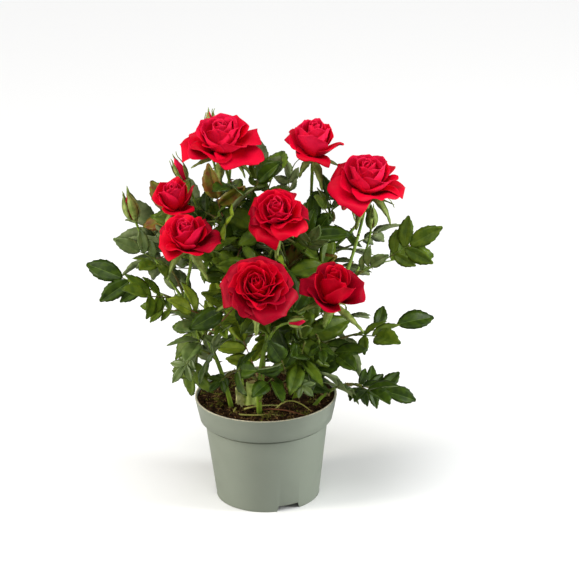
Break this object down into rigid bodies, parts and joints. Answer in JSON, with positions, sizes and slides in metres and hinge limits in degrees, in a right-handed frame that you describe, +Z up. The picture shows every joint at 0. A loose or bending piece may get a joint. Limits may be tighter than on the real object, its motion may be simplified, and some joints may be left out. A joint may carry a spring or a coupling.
{
  "type": "potted miniature rose bush",
  "caption": "Miniature rose bush with open blooms, buds and leafy side shoots, growing in a tapered plastic pot of compost.",
  "frame": {"origin": "middle of the pot's foot, on the surface that the pot stands on", "axes": "+Z up, +X to the right and -Y to the front as pictured"},
  "size_m": [0.285, 0.2071, 0.3268],
  "materials": {
    "pot_plastic": "matt grey-green moulded plastic with a soft sheen",
    "compost": "moist dark brown peat compost with fibres and moss",
    "cane_bark": "green young cane, reddish on its sunny side, with small prickles",
    "old_wood": "pale green-brown cut wood",
    "petal": "velvety crimson petals, darker on their backs",
    "bud_green": "green sepals closed over a bud",
    "leaf": "dark green glossy leaflets with a saw-toothed edge"
  },
  "bodies": {
    "root": {"pot": "pot_plastic", "compost": "compost", "cane_left": "cane_bark", "cane_front": "cane_bark", "cane_middle": "cane_bark", "cane_right": "cane_bark", "cane_right_low": "cane_bark", "cane_back_left": "cane_bark", "cane_back_right": "cane_bark", "cut_stub_left": "old_wood", "cut_stub_middle": "old_wood", "rose_top_left": "petal", "rose_top_right": "petal", "rose_right": "petal", "rose_left_small": "petal", "rose_left": "petal", "rose_middle": "petal", "rose_front": "petal", "rose_right_low": "petal", "rose_back_left": "petal", "rose_back_right": "petal", "rose_back_middle": "petal", "bud_left": "bud_green", "bud_left_high": "bud_green", "bud_front": "bud_green", "bud_right": "bud_green", "bud_top": "bud_green", "leaves_left_far": "leaf", "leaves_left_upper": "leaf", "leaves_left_low": "leaf", "leaves_left_inner": "leaf", "leaves_right_far": "leaf", "leaves_right_mid": "leaf", "leaves_right_low": "leaf", "leaves_right_inner": "leaf", "leaves_right_upper": "leaf", "leaves_front_left": "leaf", "leaves_front_right": "leaf", "leaves_middle": "leaf", "leaves_middle_right": "leaf", "leaves_upper_left": "leaf", "leaves_top": "leaf", "leaves_upper_right": "leaf", "leaves_back_top": "leaf", "leaves_back_left_high": "leaf", "leaves_back_left_low": "leaf", "leaves_back_middle": "leaf", "leaves_back_right_high": "leaf", "leaves_back_right_low": "leaf", "leaves_back_low": "leaf", "leaves_left_back": "leaf"}
  },
  "joints": []
}
